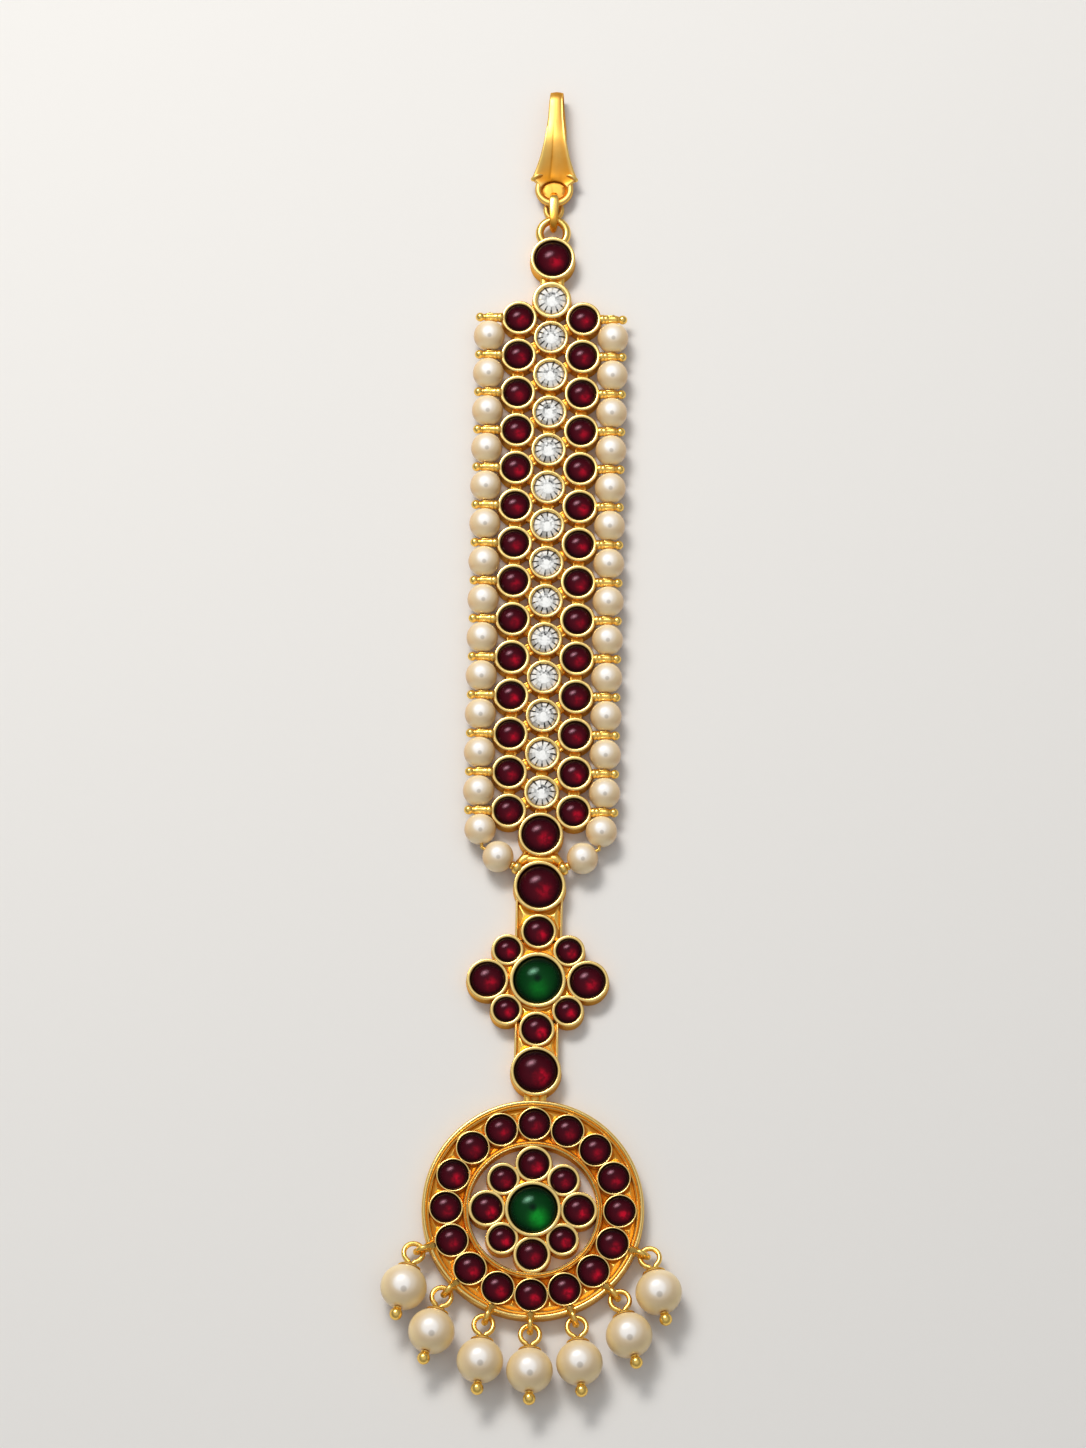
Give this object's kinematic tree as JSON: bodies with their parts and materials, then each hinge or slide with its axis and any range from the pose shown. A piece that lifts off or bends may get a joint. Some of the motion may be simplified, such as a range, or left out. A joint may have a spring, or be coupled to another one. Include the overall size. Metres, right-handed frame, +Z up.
{
  "type": "maang tikka",
  "caption": "Forehead jewel lying flat: hair hook, pearl-edged jewelled strip, flower link and round stone-set medallion with a fringe of pearl drops",
  "frame": {"origin": "middle of the box's underside, on the surface that the ornament lies on", "axes": "+Z up through the face, +Y along the ornament towards the hair hook, +X to the wearer's left"},
  "size_m": [0.0374, 0.1722, 0.0058],
  "materials": {
    "gold": "satin yellow gold plate, brighter on the worn rims and warmer in the recesses",
    "ruby": "polished deep red cabochon over a dark foil",
    "emerald": "polished deep green cabochon over a dark foil",
    "crystal": "clear faceted stone over a silver foil",
    "pearl": "warm cream pearl lustre"
  },
  "bodies": {
    "root": {"base_ruby": "ruby", "drop_pearl_1": "pearl", "drop_pearl_2": "pearl", "drop_pearl_3": "pearl", "drop_pearl_4": "pearl", "drop_pearl_5": "pearl", "drop_pearl_6": "pearl", "drop_pearl_7": "pearl", "drop_pin_1": "gold", "drop_pin_2": "gold", "drop_pin_3": "gold", "drop_pin_4": "gold", "drop_pin_5": "gold", "drop_pin_6": "gold", "drop_pin_7": "gold", "flower_emerald": "emerald", "flower_rubies": "ruby", "frame": "gold", "hook": "gold", "hook_link": "gold", "lower_ruby": "ruby", "medallion_emerald": "emerald", "medallion_petal_rubies": "ruby", "medallion_rim_rubies": "ruby", "pearl_left_01": "pearl", "pearl_left_02": "pearl", "pearl_left_03": "pearl", "pearl_left_04": "pearl", "pearl_left_05": "pearl", "pearl_left_06": "pearl", "pearl_left_07": "pearl", "pearl_left_08": "pearl", "pearl_left_09": "pearl", "pearl_left_10": "pearl", "pearl_left_11": "pearl", "pearl_left_12": "pearl", "pearl_left_13": "pearl", "pearl_left_14": "pearl", "pearl_left_15": "pearl", "pearl_right_01": "pearl", "pearl_right_02": "pearl", "pearl_right_03": "pearl", "pearl_right_04": "pearl", "pearl_right_05": "pearl", "pearl_right_06": "pearl", "pearl_right_07": "pearl", "pearl_right_08": "pearl", "pearl_right_09": "pearl", "pearl_right_10": "pearl", "pearl_right_11": "pearl", "pearl_right_12": "pearl", "pearl_right_13": "pearl", "pearl_right_14": "pearl", "pearl_right_15": "pearl", "pearl_wire_left": "gold", "pearl_wire_right": "gold", "strip_crystals": "crystal", "strip_rubies": "ruby", "top_ruby": "ruby", "upper_ruby": "ruby"}
  },
  "joints": []
}
